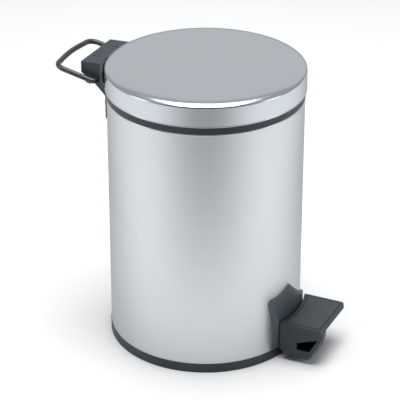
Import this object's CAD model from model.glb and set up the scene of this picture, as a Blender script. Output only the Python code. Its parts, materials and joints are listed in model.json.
# %% [markdown]
# # A small pedal bin: satin steel, black plastic, one bent wire
#
# The bin is a steel tube on a plastic base, with a pressed steel lid that a foot pedal lifts.
# Its dimensions come from a CAD model, which loads first as a frame that never moves.
# Everything after that is Blender's own work: the finish of each surface, the pieces that need
# more than CAD detail, and the studio round them. All lengths are in metres, with +Z up,
# the pedal towards -Y and the hinge and carry handle towards +Y.

# %% Load the frame
import json
from math import cos, pi, radians, sin

import bpy
from mathutils import Matrix, Vector


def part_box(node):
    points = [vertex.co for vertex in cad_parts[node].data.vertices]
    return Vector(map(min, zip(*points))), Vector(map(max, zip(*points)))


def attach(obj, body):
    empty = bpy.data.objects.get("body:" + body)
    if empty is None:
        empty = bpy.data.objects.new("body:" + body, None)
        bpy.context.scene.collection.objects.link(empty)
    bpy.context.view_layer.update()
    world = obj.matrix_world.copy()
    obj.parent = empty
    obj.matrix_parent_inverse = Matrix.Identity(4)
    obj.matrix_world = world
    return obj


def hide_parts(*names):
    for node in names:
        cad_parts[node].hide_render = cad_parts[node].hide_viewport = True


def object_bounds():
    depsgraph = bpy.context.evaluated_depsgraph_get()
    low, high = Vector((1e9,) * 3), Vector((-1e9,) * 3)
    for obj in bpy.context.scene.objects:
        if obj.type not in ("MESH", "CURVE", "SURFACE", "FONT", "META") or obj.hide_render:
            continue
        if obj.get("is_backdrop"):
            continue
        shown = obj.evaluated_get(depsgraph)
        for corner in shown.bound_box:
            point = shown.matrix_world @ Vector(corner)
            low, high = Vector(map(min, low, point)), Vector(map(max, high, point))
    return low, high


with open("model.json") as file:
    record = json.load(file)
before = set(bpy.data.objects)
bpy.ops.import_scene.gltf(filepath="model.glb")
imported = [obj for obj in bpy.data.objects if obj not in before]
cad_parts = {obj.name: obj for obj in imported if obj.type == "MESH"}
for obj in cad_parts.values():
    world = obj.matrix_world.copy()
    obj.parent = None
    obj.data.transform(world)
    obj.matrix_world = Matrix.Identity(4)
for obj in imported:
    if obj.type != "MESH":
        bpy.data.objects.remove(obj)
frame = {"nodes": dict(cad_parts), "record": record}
cad_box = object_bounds()
joints = {joint["name"]: joint for joint in frame["record"]["behaviour"]["joints"]}
print("CAD nodes:", len(frame["nodes"]))

# %% [markdown]
# ## Sizes read from the frame
#
# New pieces have to meet the CAD ones exactly, so their sizes are read from the boxes of the nodes
# they touch and from the joints they turn on. Only what a box can't tell, such as a bend's radius
# or a sheet's thickness, is written down as a number.

# %% Key sizes
lid_low, lid_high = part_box("lid_shell")
body_low, body_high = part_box("body_shell")
bucket_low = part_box("inner_bucket")[0]
lid_radius = lid_high.x
body_radius = (body_high.x - body_low.x) / 2
hinge = Vector(joints["lid_hinge"]["pos_m"])
handle_pivot = Vector(joints["handle_swing"]["pos_m"])
print(f"body radius {body_radius:.4f}, lid radius {lid_radius:.4f}, lid top {lid_high.z:.4f}")

# %% [markdown]
# ## A short way to write node trees
#
# Shader trees and Geometry Nodes trees are built the same way: add a node, choose its settings,
# then fill or join its inputs. One helper does all three, so a tree below reads as a list of what
# each node does.

# %% Node helpers
def add_node(tree, kind, inputs=None, **settings):
    """Adds a node, applies its settings, and fills or joins its inputs by name or number."""
    node = tree.nodes.new(kind)
    for setting, value in settings.items():
        setattr(node, setting, value)
    for socket, value in (inputs or {}).items():
        if isinstance(value, bpy.types.NodeSocket):
            tree.links.new(value, node.inputs[socket])
        else:
            node.inputs[socket].default_value = value
    return node


def maths(tree, operation, first, second=0.0, clamp=False):
    """One arithmetic node, returned as its output."""
    node = add_node(tree, "ShaderNodeMath", {0: first, 1: second}, operation=operation, use_clamp=clamp)
    return node.outputs[0]


def new_group(name, kind, inputs, outputs):
    """Starts a node group. Inputs are (name, socket type, default) and outputs (name, socket type)."""
    tree = bpy.data.node_groups.new(name, kind)
    for socket_name, socket_type, default in inputs:
        socket = tree.interface.new_socket(socket_name, in_out="INPUT", socket_type=socket_type)
        if default is not None:
            socket.default_value = default
    for socket_name, socket_type in outputs:
        tree.interface.new_socket(socket_name, in_out="OUTPUT", socket_type=socket_type)
    return tree, tree.nodes.new("NodeGroupInput").outputs, tree.nodes.new("NodeGroupOutput").inputs


def ramp(tree, value, start=0.0, end=1.0, low=0.0, high=1.0, smooth=False):
    """Goes from low to high as the value goes from start to end, and stays level outside."""
    inputs = {"Value": value, "From Min": start, "From Max": end, "To Min": low, "To Max": high}
    shape = "SMOOTHSTEP" if smooth else "LINEAR"
    return add_node(tree, "ShaderNodeMapRange", inputs, interpolation_type=shape).outputs[0]


def noise(tree, place, scale, detail=2.0):
    """Soft noise between 0 and 1, with about scale lumps to the metre."""
    inputs = {"Vector": place, "Scale": scale, "Detail": detail}
    return add_node(tree, "ShaderNodeTexNoise", inputs).outputs[0]


# %% [markdown]
# ## Camera
#
# The bin is seen from a little above, with the pedal at the right and the handle at the left.
# A long lens keeps the tube's sides almost parallel, as a catalogue view does. The camera is aimed
# once, with a track rotation, so nothing keeps steering it afterwards.

# %% Make the camera
camera_place = Vector((-1.3281, -0.6140, 0.8718))
camera_aim = Vector((-0.0021, 0.0045, 0.1236))
camera = bpy.data.objects.new("camera", bpy.data.cameras.new("camera"))
camera.data.sensor_width = 36.0
camera.data.lens = 170.1
camera.location = camera_place
camera.rotation_euler = (camera_aim - camera_place).to_track_quat("-Z", "Y").to_euler()
bpy.context.scene.collection.objects.link(camera)
bpy.context.scene.camera = camera
print(f"camera {(camera_aim - camera_place).length:.2f} m from the bin")

# %% [markdown]
# ## Studio
#
# Satin steel shows the room more than it shows itself. A wide lamp overhead puts the white line on
# the lid's shoulder, and two tall lamps stand at the sides. The room is dim on the side where the
# camera stands, which draws the thin dark line under that white one. Lamps are hidden
# from the camera, so no other view finds one in the picture.

# %% Lamps and room light
camera_side = Vector((camera_place.x, camera_place.y, 0)).normalized()


def softbox(name, azimuth, elevation, distance, size, radiance):
    """A rectangular lamp facing the bin's middle, sized in metres and set by its brightness."""
    lamp_data = bpy.data.lights.new(name, "AREA")
    lamp_data.shape = "RECTANGLE"
    lamp_data.size, lamp_data.size_y = size
    lamp_data.energy = radiance * pi * size[0] * size[1]
    lamp = bpy.data.objects.new(name, lamp_data)
    turn, rise = radians(azimuth), radians(elevation)
    towards = Vector((sin(turn) * cos(rise), -cos(turn) * cos(rise), sin(rise)))
    lamp.location = Vector((0, 0, body_high.z / 2)) + towards * distance
    lamp.rotation_euler = (-towards).to_track_quat("-Z", "Y").to_euler()
    lamp.visible_camera = False
    bpy.context.scene.collection.objects.link(lamp)


softbox("overhead_lamp", -65, 88, 1.5, (1.15, 1.15), 6.2)
softbox("left_lamp", -141, 14, 1.4, (0.5, 1.0), 1.3)
softbox("right_lamp", 11, 14, 1.4, (0.5, 1.0), 1.3)
softbox("back_lamp", 115, 30, 1.8, (2.4, 1.2), 0.22)


def studio_room():
    """Even white light from all round, except for a dim patch low down on the camera's side."""
    room = bpy.data.worlds.new("studio_room")
    room.use_nodes = True
    tree = room.node_tree
    direction = add_node(tree, "ShaderNodeTexCoord").outputs["Generated"]
    dim_centre = (camera_side + Vector((0, 0, 0.42))).normalized()
    likeness = add_node(tree, "ShaderNodeVectorMath", {0: direction, 1: dim_centre}, operation="DOT_PRODUCT")
    patch_edge, patch_heart = cos(radians(62)), cos(radians(18))
    room_level, patch_level = 0.42, 0.07
    dimness = ramp(tree, likeness.outputs["Value"], patch_edge, patch_heart,
                   room_level, patch_level, smooth=True)
    light = tree.nodes["Background"].inputs
    light["Color"].default_value = (0.96, 0.98, 1.0, 1.0)
    tree.links.new(dimness, light["Strength"])
    return room


bpy.context.scene.world = studio_room()
bpy.context.scene.view_settings.view_transform = "Standard"

# %% [markdown]
# A steel tube seen from above mirrors the floor, so the floor decides what the tube looks like. In
# a studio it isn't one even sheet: it is lit strongly at the sides and falls off towards the camera
# and behind. The Light Path node lets the floor stay white to the eye and keep that falloff in the
# mirror image, and this is what gives the steel its two soft bright bands.

# %% Floor
floor_half = 4.0
floor_corners = [(x * floor_half, y * floor_half, 0) for x, y in ((-1, -1), (1, -1), (1, 1), (-1, 1))]


def shadow_pool(tree, place, along, inner, outer, depth):
    """A factor that dips by depth round a spot on the line to the camera, along metres from the bin."""
    spot = camera_side * along
    away = add_node(tree, "ShaderNodeVectorMath", {0: place, 1: spot}, operation="DISTANCE").outputs["Value"]
    return ramp(tree, away, inner, outer, 1 - depth, 1.0, smooth=True)


def studio_paper():
    """White paper with the faintest mottling, darker in reflections at the front and back."""
    paper = bpy.data.materials.new("studio_paper")
    paper.use_nodes = True
    tree = paper.node_tree
    place = add_node(tree, "ShaderNodeTexCoord").outputs["Object"]
    white = ramp(tree, noise(tree, place, 3.0), low=0.93, high=0.96)
    front = shadow_pool(tree, place, 0.72, 0.10, 0.68, 0.56)
    back = shadow_pool(tree, place, -0.42, 0.22, 0.66, 0.52)
    mirror_level = 0.86
    mirrored = maths(tree, "MULTIPLY", maths(tree, "MULTIPLY", front, back), mirror_level)
    in_mirror = add_node(tree, "ShaderNodeLightPath").outputs["Is Glossy Ray"]
    seen = add_node(tree, "ShaderNodeMix", {0: in_mirror, 2: white, 3: mirrored}).outputs[0]
    shade = add_node(tree, "ShaderNodeCombineColor", {0: seen, 1: seen, 2: seen}).outputs[0]
    surface = tree.nodes["Principled BSDF"]
    surface.inputs["Roughness"].default_value = 0.9
    surface.inputs["Specular IOR Level"].default_value = 0.1
    tree.links.new(shade, surface.inputs["Base Color"])
    return paper


floor_mesh = bpy.data.meshes.new("floor")
floor_mesh.from_pydata(floor_corners, [], [(0, 1, 2, 3)])
floor_mesh.materials.append(studio_paper())
floor = bpy.data.objects.new("floor", floor_mesh)
bpy.context.scene.collection.objects.link(floor)
floor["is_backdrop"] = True
print("floor", 2 * floor_half, "m wide")

# %% [markdown]
# ## Effects that several finishes share
#
# Brushing, handling marks, moulded grain and worn edges each show on more than one material, so
# each is a shader node group. A group hands back only masks and heights that vary over the surface,
# and every material places its own copy with its own values. All of them read Object coordinates,
# which stay fixed to the piece when it moves.
#
# Brushing: steel sheet for a bin is rubbed along its length, and the length goes round the tube.
# On the turned lid the lines run round the axis as well. Noise that changes fast with the distance
# from the axis and with height, but slowly along x and y, draws both with one recipe and no seam.

# %% Brushed lines
def brushed_lines():
    tree, given, result = new_group(
        "Brushed lines",
        "ShaderNodeTree",
        [("Position", "NodeSocketVector", None), ("Lines per Metre", "NodeSocketFloat", 500.0),
         ("Changes along a Line", "NodeSocketFloat", 9.0)],
        [("Lines", "NodeSocketFloat"), ("Height", "NodeSocketFloat")],
    )
    place = add_node(tree, "ShaderNodeSeparateXYZ", {0: given["Position"]}).outputs
    across = maths(tree, "POWER", maths(tree, "ADD", maths(tree, "POWER", place["X"], 2.0),
                                        maths(tree, "POWER", place["Y"], 2.0)), 0.5)
    fast_radius = maths(tree, "MULTIPLY", across, given["Lines per Metre"])
    fast_height = maths(tree, "MULTIPLY", place["Z"], given["Lines per Metre"])
    slow_x = maths(tree, "MULTIPLY", place["X"], given["Changes along a Line"])
    slow_y = maths(tree, "MULTIPLY", place["Y"], given["Changes along a Line"])
    stretched = add_node(tree, "ShaderNodeCombineXYZ",
                         {"X": fast_radius, "Y": fast_height, "Z": slow_x}).outputs[0]
    lines = add_node(tree, "ShaderNodeTexNoise",
                     {"Vector": stretched, "W": slow_y, "Scale": 1.0, "Detail": 4.0, "Roughness": 0.7},
                     noise_dimensions="4D").outputs[0]
    tree.links.new(ramp(tree, lines, 0.3, 0.7), result["Lines"])
    tree.links.new(lines, result["Height"])
    return tree


# %% [markdown]
# Handling marks: hands and cloths leave wide, faint patches where the shine changes a little.
# Wide noise with little detail places them, and a smooth step keeps their borders from showing.

# %% Handling marks
def handling_marks():
    tree, given, result = new_group(
        "Handling marks",
        "ShaderNodeTree",
        [("Position", "NodeSocketVector", None), ("Patches per Metre", "NodeSocketFloat", 14.0),
         ("Amount", "NodeSocketFloat", 0.5)],
        [("Mask", "NodeSocketFloat")],
    )
    wide = noise(tree, given["Position"], given["Patches per Metre"], 1.5)
    patches = ramp(tree, wide, 0.35, 0.75, smooth=True)
    tree.links.new(maths(tree, "MULTIPLY", patches, given["Amount"]), result["Mask"])
    return tree


# %% [markdown]
# Moulded grain: black plastic gets its dull look from a fine spark-eroded texture in the mould,
# a crowd of pits about half a millimetre apart. Voronoi cells give the pits, and slow noise makes
# the grain a little deeper in some places than in others.

# %% Moulded grain
def moulded_grain():
    tree, given, result = new_group(
        "Moulded grain",
        "ShaderNodeTree",
        [("Position", "NodeSocketVector", None), ("Pits per Metre", "NodeSocketFloat", 2200.0)],
        [("Height", "NodeSocketFloat"), ("Shade", "NodeSocketFloat")],
    )
    pits = add_node(tree, "ShaderNodeTexVoronoi",
                    {"Vector": given["Position"], "Scale": given["Pits per Metre"]},
                    feature="SMOOTH_F1").outputs["Distance"]
    uneven = noise(tree, given["Position"], 60.0, 3.0)
    depth = maths(tree, "ADD", maths(tree, "MULTIPLY", uneven, 0.6), 0.5)
    tree.links.new(maths(tree, "MULTIPLY", pits, depth), result["Height"])
    tree.links.new(uneven, result["Shade"])
    return tree


# %% [markdown]
# Worn edges: shoes and hands rub the corners of plastic and painted wire first. The Bevel node
# returns the normal that a rounded edge would have, so wherever it differs from the true normal
# there is an edge close by. Noise breaks the line up, because wear is never even.

# %% Worn edges
def worn_edges():
    tree, given, result = new_group(
        "Worn edges",
        "ShaderNodeTree",
        [("Position", "NodeSocketVector", None), ("Width", "NodeSocketFloat", 0.0008),
         ("Amount", "NodeSocketFloat", 1.0)],
        [("Mask", "NodeSocketFloat")],
    )
    rounded = add_node(tree, "ShaderNodeBevel", {"Radius": given["Width"]}, samples=4).outputs[0]
    true_normal = add_node(tree, "ShaderNodeNewGeometry").outputs["Normal"]
    likeness = add_node(tree, "ShaderNodeVectorMath", {0: rounded, 1: true_normal},
                        operation="DOT_PRODUCT").outputs["Value"]
    edge = ramp(tree, likeness, 0.98, 0.80)
    patchy = ramp(tree, noise(tree, given["Position"], 350.0, 4.0), 0.35, 0.65)
    worn = maths(tree, "MULTIPLY", maths(tree, "MULTIPLY", edge, patchy), given["Amount"], clamp=True)
    tree.links.new(worn, result["Mask"])
    return tree


lines_group = brushed_lines()
marks_group = handling_marks()
grain_group = moulded_grain()
edges_group = worn_edges()
print("shared effects:", ", ".join(group.name for group in bpy.data.node_groups))

# %% [markdown]
# ## Finishes
#
# Each material mixes two near shades of one colour by a mask, varies its roughness with another and
# raises a little relief. These helpers write those three steps once. The steps differ only in their
# values, and the values are what tell steel from plastic.

# %% Material helpers
def start_material(name):
    """A new material, its tree, its Principled shader and a socket with the Object coordinates."""
    material = bpy.data.materials.new(name)
    material.use_nodes = True
    tree = material.node_tree
    place = add_node(tree, "ShaderNodeTexCoord").outputs["Object"]
    return material, tree, tree.nodes["Principled BSDF"], place


def place_effect(tree, group, inputs):
    """Places a shared effect in a material and returns its outputs."""
    return add_node(tree, "ShaderNodeGroup", inputs, node_tree=group).outputs


def blend_colours(tree, mask, first, second):
    """Goes from the first colour to the second as the mask goes from 0 to 1."""
    node = tree.nodes.new("ShaderNodeMix")
    node.data_type = "RGBA"
    tree.links.new(mask, node.inputs[0])
    for socket, colour in ((node.inputs[6], first), (node.inputs[7], second)):
        if isinstance(colour, bpy.types.NodeSocket):
            tree.links.new(colour, socket)
        else:
            socket.default_value = (*colour, 1.0)
    return node.outputs[2]


def relief(tree, height, depth):
    """A normal that follows a height, depth metres from its lowest to its highest point."""
    return add_node(tree, "ShaderNodeBump", {"Height": height, "Distance": depth, "Strength": 1.0}).outputs[0]


# %% [markdown]
# ### Steel
#
# The body and lid are satin stainless sheet: cool, pale, and smooth enough to mirror soft shapes.
# Metallic stays at 1 and the colour is the metal's reflectance. Brushed lines shift the colour by a
# few hundredths, and handling marks raise the roughness in patches.

# %% Steel sheet, plated parts and screws
def steel(name, dark, light, smoothest, roughest, lines_per_metre=700.0, line_depth=0.0000008, marks=0.6):
    """Metal in two near shades, with brushed lines and patches of handling."""
    material, tree, surface, place = start_material(name)
    lines = place_effect(tree, lines_group, {"Position": place, "Lines per Metre": lines_per_metre})
    marked = place_effect(tree, marks_group, {"Position": place, "Amount": marks})["Mask"]
    surface.inputs["Metallic"].default_value = 1.0
    tree.links.new(blend_colours(tree, lines["Lines"], dark, light), surface.inputs["Base Color"])
    tree.links.new(ramp(tree, marked, low=smoothest, high=roughest), surface.inputs["Roughness"])
    tree.links.new(relief(tree, lines["Height"], line_depth), surface.inputs["Normal"])
    return material


body_steel = steel("satin_steel", (0.685, 0.715, 0.745), (0.705, 0.735, 0.765), 0.29, 0.31, marks=0.4)
lid_steel = steel("lid_steel", (0.66, 0.70, 0.74), (0.68, 0.72, 0.76), 0.17, 0.19, marks=0.4)
plated_steel = steel(
    "zinc_plate", (0.50, 0.52, 0.54), (0.62, 0.63, 0.64), 0.30, 0.48,
    lines_per_metre=180.0, line_depth=0.000008, marks=1.0,
)
screw_steel = steel(
    "screw_plate", (0.42, 0.43, 0.45), (0.52, 0.53, 0.55), 0.28, 0.42,
    lines_per_metre=900.0, line_depth=0.00001, marks=0.8,
)
print("steels made:", body_steel.name, lid_steel.name, plated_steel.name, screw_steel.name)

# %% [markdown]
# ### Plastic
#
# The outer plastic is near black with a blue cast and a fine moulded grain. Edges wear lighter,
# and scuffs sit in wide patches. The inner plastic of the bucket and liner is the same material from
# a polished mould, so it has less grain and more gloss. The guard behind the pedal is a paler batch,
# and the tread is a dull rubber.

# %% Plastics and tread
def plastic(name, colour, worn_colour, smoothest, roughest, pits_per_metre, pit_depth, wear):
    """Moulded plastic or rubber, grained, scuffed in patches and worn along its edges."""
    material, tree, surface, place = start_material(name)
    grain = place_effect(tree, grain_group, {"Position": place, "Pits per Metre": pits_per_metre})
    worn = place_effect(tree, edges_group, {"Position": place, "Amount": wear})["Mask"]
    marked = place_effect(tree, marks_group,
                          {"Position": place, "Patches per Metre": 22.0, "Amount": 0.7})["Mask"]
    mottle_gain, scuff_share = 1.35, 0.25
    lighter = tuple(mottle_gain * part for part in colour)
    mottled = blend_colours(tree, grain["Shade"], colour, lighter)
    scuffed = blend_colours(tree, maths(tree, "MULTIPLY", marked, scuff_share), mottled, worn_colour)
    tree.links.new(blend_colours(tree, worn, scuffed, worn_colour), surface.inputs["Base Color"])
    tree.links.new(ramp(tree, marked, low=smoothest, high=roughest), surface.inputs["Roughness"])
    tree.links.new(relief(tree, grain["Height"], pit_depth), surface.inputs["Normal"])
    return material


outer_plastic = plastic(
    "black_plastic", (0.017, 0.024, 0.033), (0.12, 0.14, 0.16),
    smoothest=0.38, roughest=0.52, pits_per_metre=2200.0, pit_depth=0.00006, wear=0.8,
)
inner_plastic = plastic(
    "inner_plastic", (0.036, 0.039, 0.044), (0.12, 0.125, 0.13),
    smoothest=0.26, roughest=0.42, pits_per_metre=900.0, pit_depth=0.00001, wear=0.3,
)
tread_rubber = plastic(
    "tread_rubber", (0.030, 0.038, 0.048), (0.18, 0.19, 0.20),
    smoothest=0.50, roughest=0.70, pits_per_metre=1600.0, pit_depth=0.00010, wear=0.9,
)
guard_plastic = plastic(
    "guard_plastic", (0.048, 0.062, 0.072), (0.15, 0.165, 0.18),
    smoothest=0.34, roughest=0.48, pits_per_metre=2200.0, pit_depth=0.00005, wear=0.8,
)
plastics = (outer_plastic, guard_plastic, inner_plastic, tread_rubber)
print("plastics made:", ", ".join(material.name for material in plastics))

# %% [markdown]
# ### Coated wire
#
# The carry handle is steel wire under a semi-gloss black coat. The coat is thick enough to ripple
# slightly, like orange peel, and a clear coat layer gives the second, sharper reflection.

# %% Handle coating
def wire_coating():
    material, tree, surface, place = start_material("coated_wire")
    ripple = noise(tree, place, 420.0)
    marked = place_effect(tree, marks_group,
                          {"Position": place, "Patches per Metre": 60.0, "Amount": 0.8})["Mask"]
    surface.inputs["Coat Weight"].default_value = 0.35
    surface.inputs["Coat Roughness"].default_value = 0.18
    colour = blend_colours(tree, marked, (0.016, 0.019, 0.022), (0.045, 0.050, 0.056))
    tree.links.new(colour, surface.inputs["Base Color"])
    tree.links.new(ramp(tree, marked, low=0.28, high=0.46), surface.inputs["Roughness"])
    tree.links.new(relief(tree, ripple, 0.00005), surface.inputs["Normal"])
    return material


handle_coating = wire_coating()
print("coating made:", handle_coating.name)

# %% [markdown]
# ## Geometry Nodes, from tree to plain mesh
#
# A Geometry Nodes tree is a rule with named inputs. An object carries the rule in a modifier, and
# the modifier's inputs are filled by each socket's identifier, which stays the same if the socket is
# renamed. Once evaluated, the result is kept as a plain mesh and the modifier goes away. Every tree
# ends in the same two steps, so one helper adds them.

# %% Run a tree
def made_by_rule(name, base_mesh, tree, body, record_slot, **inputs):
    """Runs a tree on a mesh and returns the plain result, riding on a body."""
    piece = bpy.data.objects.new(name, base_mesh)
    bpy.context.scene.collection.objects.link(piece)
    modifier = piece.modifiers.new("rule", "NODES")
    modifier.node_group = tree
    sockets = {item.name: item.identifier for item in tree.interface.items_tree if item.in_out == "INPUT"}
    for socket_name, value in inputs.items():
        modifier[sockets[socket_name.replace("_", " ")]] = value
    evaluated = piece.evaluated_get(bpy.context.evaluated_depsgraph_get())
    result = bpy.data.meshes.new_from_object(evaluated)
    piece.modifiers.remove(modifier)
    piece.data = result
    result.name = name
    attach(piece, body)
    print(f"{name}: {len(result.vertices)} points, {len(result.polygons)} faces")
    return piece


def hand_back(tree, geometry, material, output):
    """Ends a tree: makes its instances real, sets the material and joins the output."""
    real = add_node(tree, "GeometryNodeRealizeInstances", {"Geometry": geometry}).outputs[0]
    coated = add_node(tree, "GeometryNodeSetMaterial", {"Geometry": real, "Material": material}).outputs[0]
    tree.links.new(coated, output)


def line_mesh(name, points):
    """A mesh of points joined in a row, for a tree to read as a path or a profile."""
    mesh = bpy.data.meshes.new(name)
    mesh.from_pydata(points, [(i, i + 1) for i in range(len(points) - 1)], [])
    return mesh


# %% [markdown]
# ## The lid, turned from its profile
#
# The real lid is pressed from one disc of sheet: a flat top, a soft shoulder, a short side and a
# rolled hem. Its shape follows one rule, a profile turned round an axis, so the tree works as a
# lathe. It lays out a grid with one row for each profile point, and gives each grid point its
# profile position turned by its share of a full circle. A box then cuts the notch for the hinge.

# %% Lathe tree
def lathe_tree():
    tree, given, result = new_group(
        "Lathe",
        "GeometryNodeTree",
        [("Geometry", "NodeSocketGeometry", None), ("Segments", "NodeSocketInt", 192),
         ("Notch Half Width", "NodeSocketFloat", 0.01), ("Notch Top", "NodeSocketFloat", 0.1),
         ("Material", "NodeSocketMaterial", None)],
        [("Geometry", "NodeSocketGeometry")],
    )
    count = add_node(tree, "GeometryNodeAttributeDomainSize", {0: given["Geometry"]}).outputs["Point Count"]
    across = maths(tree, "ADD", given["Segments"], 1.0)
    grid = add_node(tree, "GeometryNodeMeshGrid", {"Vertices X": across, "Vertices Y": count}).outputs["Mesh"]
    index = add_node(tree, "GeometryNodeInputIndex").outputs[0]
    row = maths(tree, "MODULO", index, count)
    column = maths(tree, "FLOOR", maths(tree, "DIVIDE", index, count))
    angle = maths(tree, "MULTIPLY", maths(tree, "DIVIDE", column, given["Segments"]), 2 * pi)
    position = add_node(tree, "GeometryNodeInputPosition").outputs[0]
    profile = add_node(tree, "GeometryNodeSampleIndex",
                       {"Geometry": given["Geometry"], "Value": position, "Index": row},
                       data_type="FLOAT_VECTOR", domain="POINT").outputs[0]
    turned = add_node(tree, "ShaderNodeVectorRotate", {"Vector": profile, "Angle": angle},
                      rotation_type="Z_AXIS").outputs[0]
    shaped = add_node(tree, "GeometryNodeSetPosition", {"Geometry": grid, "Position": turned}).outputs[0]
    seam_gap = 0.00001
    closed = add_node(tree, "GeometryNodeMergeByDistance",
                      {"Geometry": shaped, "Distance": seam_gap}).outputs[0]
    cutter_side = 0.3
    width = maths(tree, "MULTIPLY", given["Notch Half Width"], 2.0)
    size = add_node(tree, "ShaderNodeCombineXYZ", {"X": width, "Y": cutter_side, "Z": cutter_side}).outputs[0]
    middle = maths(tree, "SUBTRACT", given["Notch Top"], cutter_side / 2)
    centre = add_node(tree, "ShaderNodeCombineXYZ", {"X": 0.0, "Y": cutter_side / 2, "Z": middle}).outputs[0]
    box = add_node(tree, "GeometryNodeMeshCube", {"Size": size}).outputs["Mesh"]
    cutter = add_node(tree, "GeometryNodeTransform", {"Geometry": box, "Translation": centre}).outputs[0]
    cut = add_node(tree, "GeometryNodeMeshBoolean", {"Mesh 1": closed, "Mesh 2": cutter},
                   operation="DIFFERENCE").outputs["Mesh"]
    bend = add_node(tree, "GeometryNodeInputMeshEdgeAngle").outputs["Unsigned Angle"]
    sharpest_smooth_bend = radians(35)
    gentle = maths(tree, "LESS_THAN", bend, sharpest_smooth_bend)
    smooth = add_node(tree, "GeometryNodeSetShadeSmooth",
                      {"Geometry": cut, "Shade Smooth": gentle}, domain="EDGE").outputs[0]
    hand_back(tree, smooth, given["Material"], result["Geometry"])
    return tree


# %% [markdown]
# The profile is drawn in Python, from the middle of the top, over the shoulder and down the side,
# round the hem, and back up inside. The shoulder is a quarter of an ellipse, wider than it is high,
# which is what gives the lid its soft edge and its narrow white highlight.

# %% Lid skin
sheet = 0.0008
shoulder_width, shoulder_height = 0.013, 0.0045
hem_radius, hem_out = 0.0007, 0.0002
wall_radius = lid_radius - hem_out
notch_half_width, notch_above_hinge = 0.0126, 0.0056


def elliptic_arc(centre, width, height, steps, start=90, end=0):
    """Points on an ellipse from one angle to another, in degrees above the horizontal."""
    angles = [radians(start + (end - start) * i / steps) for i in range(steps + 1)]
    return [(centre[0] + width * cos(a), 0, centre[1] + height * sin(a)) for a in angles]


def lid_profile():
    centre = (wall_radius - shoulder_width, lid_high.z - shoulder_height)
    outside = elliptic_arc(centre, shoulder_width, shoulder_height, 20)
    inside = elliptic_arc(centre, shoulder_width - sheet, shoulder_height - sheet, 20, 0, 90)
    hem_centre = (lid_radius - hem_radius, lid_low.z + hem_radius)
    hem = elliptic_arc(hem_centre, hem_radius, hem_radius, 16, 45, -210)
    top = [(0, 0, lid_high.z), (centre[0] / 2, 0, lid_high.z)]
    ceiling = [(centre[0] / 2, 0, lid_high.z - sheet), (0, 0, lid_high.z - sheet)]
    return top + outside + hem + inside + ceiling


lid_skin = made_by_rule(
    "lid_skin", line_mesh("lid_profile", lid_profile()), lathe_tree(), "lid", "brushed_steel",
    Segments=192, Notch_Half_Width=notch_half_width,
    Notch_Top=hinge.z + notch_above_hinge, Material=lid_steel,
)
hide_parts("lid_shell")

# %% [markdown]
# ## The carry handle, one bent wire
#
# The handle is a single round wire: two short ends turned into the bracket, two straight arms and
# a slightly bowed grip. The tree reads a path of straight runs, rounds each corner by the bend
# radius stored on that point, and sweeps a circle along it, which is how a wire former works.

# %% Bent wire tree
def bent_wire_tree():
    tree, given, result = new_group(
        "Bent wire",
        "GeometryNodeTree",
        [("Geometry", "NodeSocketGeometry", None), ("Wire Radius", "NodeSocketFloat", 0.002),
         ("Arc Steps", "NodeSocketInt", 12), ("Sides", "NodeSocketInt", 24),
         ("Material", "NodeSocketMaterial", None)],
        [("Geometry", "NodeSocketGeometry")],
    )
    bend = add_node(tree, "GeometryNodeInputNamedAttribute", {"Name": "bend"},
                    data_type="FLOAT").outputs["Attribute"]
    path = add_node(tree, "GeometryNodeMeshToCurve", {"Mesh": given["Geometry"]}).outputs[0]
    filleted = add_node(tree, "GeometryNodeFilletCurve",
                        {"Curve": path, "Radius": bend, "Limit Radius": True, "Count": given["Arc Steps"]},
                        mode="POLY").outputs[0]
    circle = add_node(tree, "GeometryNodeCurvePrimitiveCircle",
                      {"Resolution": given["Sides"], "Radius": given["Wire Radius"]}).outputs["Curve"]
    tube = add_node(tree, "GeometryNodeCurveToMesh",
                    {"Curve": filleted, "Profile Curve": circle, "Fill Caps": True}).outputs[0]
    hand_back(tree, tube, given["Material"], result["Geometry"])
    return tree


# %% [markdown]
# At rest the arms lean back by the handle's tilt. The path is laid out flat and then turned about
# the pivot, so the widths and lengths stay those of the flat wire.

# %% Carry handle
wire_radius = 0.0023
stub_inner, half_width, reach, bow = 0.019, 0.0322, 0.0376, 0.0035
hook_bend, corner_bend, grip_bend = 0.0034, 0.0086, 0.120
tilt = Matrix.Rotation(radians(12.4), 4, "X")


def handle_path():
    flat = [(-stub_inner, 0), (-half_width, 0), (-half_width, reach), (0, reach + bow),
            (half_width, reach), (half_width, 0), (stub_inner, 0)]
    mesh = line_mesh("handle_path", [handle_pivot + tilt @ Vector((x, y, 0)) for x, y in flat])
    bends = [0, hook_bend, corner_bend, grip_bend, corner_bend, hook_bend, 0]
    mesh.attributes.new("bend", "FLOAT", "POINT").data.foreach_set("value", bends)
    return mesh


carry_wire = made_by_rule(
    "carry_wire", handle_path(), bent_wire_tree(), "handle", "handle_coating",
    Wire_Radius=wire_radius, Arc_Steps=14, Sides=28, Material=handle_coating,
)
carry_wire.data.shade_smooth()
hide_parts("carry_handle")

# %% [markdown]
# ## Ribs that stiffen the mouldings
#
# Thin plastic is stiffened by ribs rather than by thickness. The lid's liner has ribs that fan out
# below it, and the bucket's floor has a shallower set. One tree makes both: it places a tapered rib
# at equal steps round a circle. Its inputs say how many, how long, how thick and how high.

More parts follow.
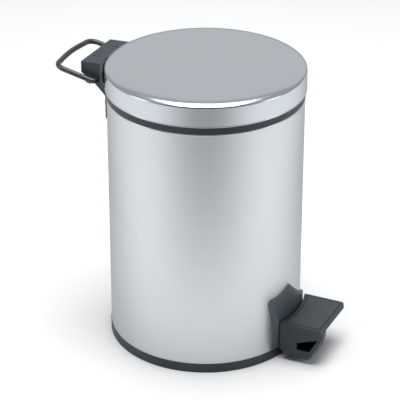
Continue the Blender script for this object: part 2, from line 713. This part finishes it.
# %% Rib fan tree
def rib_fan_tree():
    tree, given, result = new_group(
        "Rib fan",
        "GeometryNodeTree",
        [("Geometry", "NodeSocketGeometry", None), ("Count", "NodeSocketInt", 12),
         ("Inner Radius", "NodeSocketFloat", 0.02), ("Outer Radius", "NodeSocketFloat", 0.05),
         ("Root Thickness", "NodeSocketFloat", 0.0016), ("Crest Share", "NodeSocketFloat", 0.55),
         ("Root Z", "NodeSocketFloat", 0.0), ("Rise", "NodeSocketFloat", 0.002),
         ("Material", "NodeSocketMaterial", None)],
        [("Geometry", "NodeSocketGeometry")],
    )
    length = maths(tree, "SUBTRACT", given["Outer Radius"], given["Inner Radius"])
    ends = maths(tree, "ADD", given["Outer Radius"], given["Inner Radius"])
    middle = maths(tree, "MULTIPLY", ends, 0.5)
    block = add_node(tree, "GeometryNodeMeshCube", {"Size": (1, 1, 1), "Vertices X": 9}).outputs["Mesh"]
    corner = add_node(tree, "GeometryNodeInputPosition").outputs[0]
    unit = add_node(tree, "ShaderNodeSeparateXYZ", {0: corner}).outputs
    share_up = maths(tree, "ADD", unit["Z"], 0.5)
    taper = ramp(tree, share_up, low=1.0, high=given["Crest Share"])
    near_end = maths(tree, "POWER", maths(tree, "MULTIPLY", maths(tree, "ABSOLUTE", unit["X"]), 2.0), 4.0)
    low_ends = maths(tree, "SUBTRACT", 1.0, maths(tree, "MULTIPLY", near_end, 0.7))
    along = maths(tree, "ADD", maths(tree, "MULTIPLY", unit["X"], length), middle)
    thick = maths(tree, "MULTIPLY", maths(tree, "MULTIPLY", unit["Y"], taper), given["Root Thickness"])
    up = maths(tree, "MULTIPLY", maths(tree, "MULTIPLY", share_up, low_ends), given["Rise"])
    height = maths(tree, "ADD", up, given["Root Z"])
    shaped = add_node(tree, "ShaderNodeCombineXYZ", {"X": along, "Y": thick, "Z": height}).outputs[0]
    rib = add_node(tree, "GeometryNodeSetPosition", {"Geometry": block, "Position": shaped}).outputs[0]
    row = add_node(tree, "GeometryNodeMeshLine", {"Count": given["Count"], "Offset": (0, 0, 0)}).outputs[0]
    index = add_node(tree, "GeometryNodeInputIndex").outputs[0]
    turn = maths(tree, "MULTIPLY", maths(tree, "DIVIDE", index, given["Count"]), 2 * pi)
    rotation = add_node(tree, "ShaderNodeCombineXYZ", {"Z": turn}).outputs[0]
    fan = add_node(tree, "GeometryNodeInstanceOnPoints",
                   {"Points": row, "Instance": rib, "Rotation": rotation}).outputs[0]
    hand_back(tree, fan, given["Material"], result["Geometry"])
    return tree


rib_tree = rib_fan_tree()
sunk = 0.0002
liner_below_hinge, bucket_floor = 0.0005, 0.0015
made_by_rule(
    "liner_ribs", bpy.data.meshes.new("liner_ribs"), rib_tree, "lid", "inner_plastic",
    Count=18, Inner_Radius=0.016, Outer_Radius=0.050, Root_Thickness=0.0016,
    Root_Z=hinge.z - liner_below_hinge + sunk, Rise=-0.0024, Material=inner_plastic,
)
made_by_rule(
    "bucket_ribs", bpy.data.meshes.new("bucket_ribs"), rib_tree, "can", "inner_plastic",
    Count=12, Inner_Radius=0.012, Outer_Radius=0.060, Root_Thickness=0.0020,
    Root_Z=bucket_low.z + bucket_floor - sunk, Rise=0.0014, Material=inner_plastic,
)

# %% [markdown]
# ## Finishes for the CAD pieces
#
# The pieces that CAD already describes in full keep their meshes and only get a finish, by what
# each one is made of on the real bin: sheet steel, moulded plastic, rubber, plated rod and screws.

# %% Dress the CAD nodes
finish_of_node = {
    "body_shell": body_steel,
    "base_pan": outer_plastic, "rim_ring": outer_plastic, "pedal_guard": guard_plastic,
    "hinge_bracket": outer_plastic, "hinge_tongue": outer_plastic, "pedal_shoe": outer_plastic,
    "pedal_pad": tread_rubber, "lid_bumpers": tread_rubber,
    "floor_plate": inner_plastic, "lid_liner": inner_plastic, "inner_bucket": inner_plastic,
    "rod_guides": inner_plastic, "lever_bushes": inner_plastic,
    "pedal_lever": plated_steel, "push_rod": plated_steel, "bucket_bail": plated_steel,
    "axle_saddles": plated_steel, "lever_axle": plated_steel, "hinge_pin": plated_steel,
    "bracket_clamps": plated_steel, "axle_clip": plated_steel, "rod_clip": plated_steel,
    "floor_screws": screw_steel, "saddle_screws": screw_steel, "shoe_screws": screw_steel,
    "guard_screws": screw_steel, "bracket_screws": screw_steel, "tongue_screws": screw_steel,
}
for node_name, finish in finish_of_node.items():
    for material_slot in frame["nodes"][node_name].material_slots:
        material_slot.material = finish
undressed = set(frame["nodes"]) - set(finish_of_node)
print("dressed", len(finish_of_node), "CAD nodes; replaced by new pieces:", ", ".join(sorted(undressed)))

# %% [markdown]
# ## Size and hand over
#
# The pieces made here have to stay inside the box that the CAD model fills.

# %% Record both boxes and finish
visual_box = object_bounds()
differences = [abs(a - b) for c, v in zip(cad_box, visual_box) for a, b in zip(c, v)]
print(f"boxes match within {max(differences):.6f} m")
